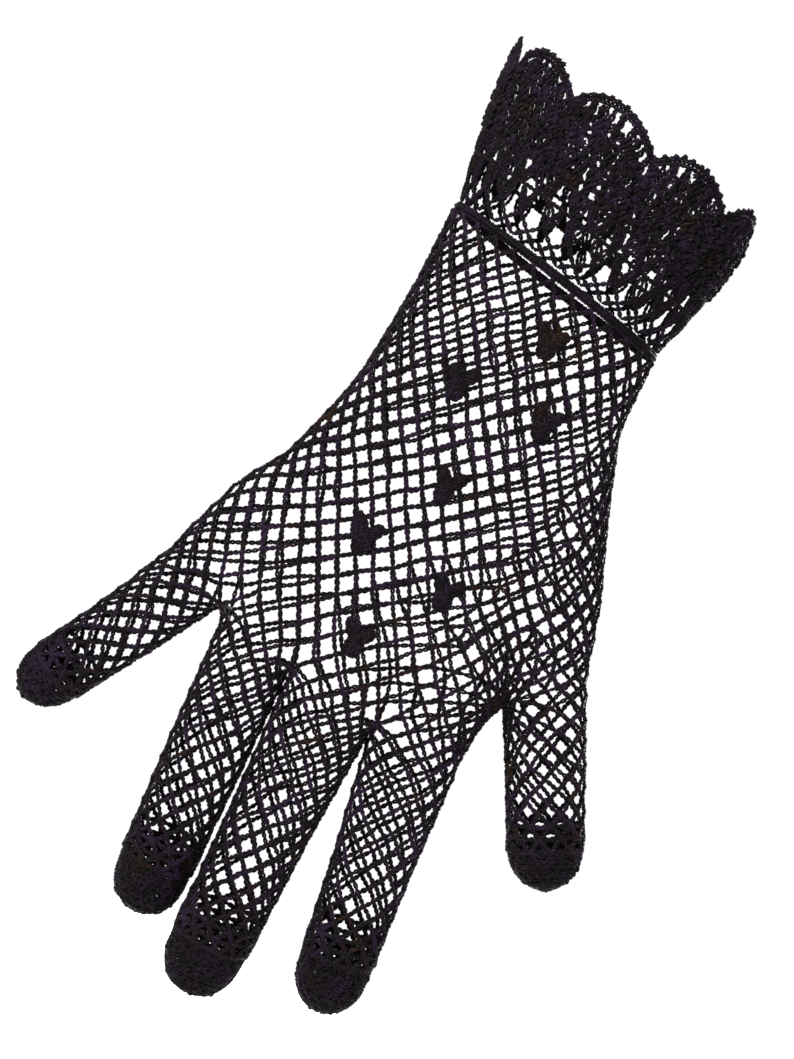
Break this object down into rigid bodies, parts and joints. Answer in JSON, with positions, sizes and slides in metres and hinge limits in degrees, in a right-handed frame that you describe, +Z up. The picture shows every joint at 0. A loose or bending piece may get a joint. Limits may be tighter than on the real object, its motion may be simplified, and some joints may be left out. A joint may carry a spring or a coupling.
{
  "type": "crocheted lace glove",
  "caption": "Wrist-length right-hand glove in open crocheted lace, with dense fingertips, a corded wrist ridge and a flared scalloped cuff.",
  "frame": {"origin": "centre of the wrist opening, level with the middle of the scallops", "axes": "+Z up the arm, fingers pointing down -Z; the back of the hand faces -Y and the palm +Y; the thumb points to +X"},
  "size_m": [0.1548, 0.0558, 0.261],
  "materials": {
    "lace_net": "black mercerised cotton crochet thread worked as an open diamond net",
    "dense_crochet": "black mercerised cotton crochet thread worked densely",
    "corded_edge": "black cotton cord covered in close stitches"
  },
  "bodies": {
    "hand": {"hand_net": "lace_net", "wrist_ridge": "corded_edge", "cuff_band": "lace_net", "cuff_scallop_1": "dense_crochet", "cuff_scallop_2": "dense_crochet", "cuff_scallop_3": "dense_crochet", "cuff_scallop_4": "dense_crochet", "cuff_scallop_5": "dense_crochet", "cuff_scallop_6": "dense_crochet", "cuff_scallop_7": "dense_crochet", "cuff_scallop_8": "dense_crochet", "cuff_scallop_9": "dense_crochet", "back_motif_1": "dense_crochet", "back_motif_2": "dense_crochet", "back_motif_3": "dense_crochet", "back_motif_4": "dense_crochet", "back_motif_5": "dense_crochet", "back_motif_6": "dense_crochet", "back_motif_7": "dense_crochet"},
    "index_root": {"index_root_net": "lace_net"},
    "index_mid": {"index_mid_net": "lace_net"},
    "index_tip": {"index_tip_net": "lace_net", "index_cap": "dense_crochet"},
    "middle_root": {"middle_root_net": "lace_net"},
    "middle_mid": {"middle_mid_net": "lace_net"},
    "middle_tip": {"middle_tip_net": "lace_net", "middle_cap": "dense_crochet"},
    "ring_root": {"ring_root_net": "lace_net"},
    "ring_mid": {"ring_mid_net": "lace_net"},
    "ring_tip": {"ring_tip_net": "lace_net", "ring_cap": "dense_crochet"},
    "little_root": {"little_root_net": "lace_net"},
    "little_mid": {"little_mid_net": "lace_net"},
    "little_tip": {"little_tip_net": "lace_net", "little_cap": "dense_crochet"},
    "thumb_root": {"thumb_root_net": "lace_net"},
    "thumb_tip": {"thumb_tip_net": "lace_net", "thumb_cap": "dense_crochet"}
  },
  "joints": [
    {"name": "index_root_bend", "type": "hinge", "parent": "hand", "child": "index_root", "pos_m": [0.02058, 0.00558, -0.1721], "axis": [0.9932, 0, 0.1167], "range_deg": [-10, 65]},
    {"name": "index_mid_bend", "type": "hinge", "parent": "index_root", "child": "index_mid", "pos_m": [0.02332, 0.00695, -0.19541], "axis": [0.9932, 0, 0.1167], "range_deg": [0, 80]},
    {"name": "index_tip_bend", "type": "hinge", "parent": "index_mid", "child": "index_tip", "pos_m": [0.02577, 0.0115, -0.21628], "axis": [0.9932, 0, 0.1167], "range_deg": [0, 50]},
    {"name": "middle_root_bend", "type": "hinge", "parent": "hand", "child": "middle_root", "pos_m": [-0.005, 0.00475, -0.1706], "axis": [1, 0, 0], "range_deg": [-10, 65]},
    {"name": "middle_mid_bend", "type": "hinge", "parent": "middle_root", "child": "middle_mid", "pos_m": [-0.005, 0.0066, -0.19854], "axis": [1, 0, 0], "range_deg": [0, 80]},
    {"name": "middle_tip_bend", "type": "hinge", "parent": "middle_mid", "child": "middle_tip", "pos_m": [-0.005, 0.01224, -0.22393], "axis": [1, 0, 0], "range_deg": [0, 50]},
    {"name": "ring_root_bend", "type": "hinge", "parent": "hand", "child": "ring_root", "pos_m": [-0.02901, 0.00494, -0.1626], "axis": [0.9994, 0, 0.0349], "range_deg": [-10, 65]},
    {"name": "ring_mid_bend", "type": "hinge", "parent": "ring_root", "child": "ring_mid", "pos_m": [-0.02808, 0.00717, -0.18899], "axis": [0.9994, 0, 0.0349], "range_deg": [0, 80]},
    {"name": "ring_tip_bend", "type": "hinge", "parent": "ring_mid", "child": "ring_tip", "pos_m": [-0.02725, 0.01247, -0.2129], "axis": [0.9994, 0, 0.0349], "range_deg": [0, 50]},
    {"name": "little_root_bend", "type": "hinge", "parent": "hand", "child": "little_root", "pos_m": [-0.05154, 0.00702, -0.15048], "axis": [0.8595, 0.2756, -0.4304], "range_deg": [-10, 65]},
    {"name": "little_mid_bend", "type": "hinge", "parent": "little_root", "child": "little_mid", "pos_m": [-0.06035, 0.00829, -0.16727], "axis": [0.8595, 0.2756, -0.4304], "range_deg": [0, 80]},
    {"name": "little_tip_bend", "type": "hinge", "parent": "little_mid", "child": "little_tip", "pos_m": [-0.06868, 0.01177, -0.18168], "axis": [0.8595, 0.2756, -0.4304], "range_deg": [0, 50]},
    {"name": "thumb_root_bend", "type": "hinge", "parent": "hand", "child": "thumb_root", "pos_m": [0.04157, 0.01311, -0.13811], "axis": [0.7818, 0.4695, 0.4104], "range_deg": [-10, 30]},
    {"name": "thumb_tip_bend", "type": "hinge", "parent": "thumb_root", "child": "thumb_tip", "pos_m": [0.05353, 0.01288, -0.16064], "axis": [0.7818, 0.4695, 0.4104], "range_deg": [0, 60]}
  ],
  "couplings": [
    {"joint": "index_tip_bend", "follows": "index_mid_bend", "ratio": 0.625},
    {"joint": "middle_tip_bend", "follows": "middle_mid_bend", "ratio": 0.625},
    {"joint": "ring_tip_bend", "follows": "ring_mid_bend", "ratio": 0.625},
    {"joint": "little_tip_bend", "follows": "little_mid_bend", "ratio": 0.625}
  ]
}
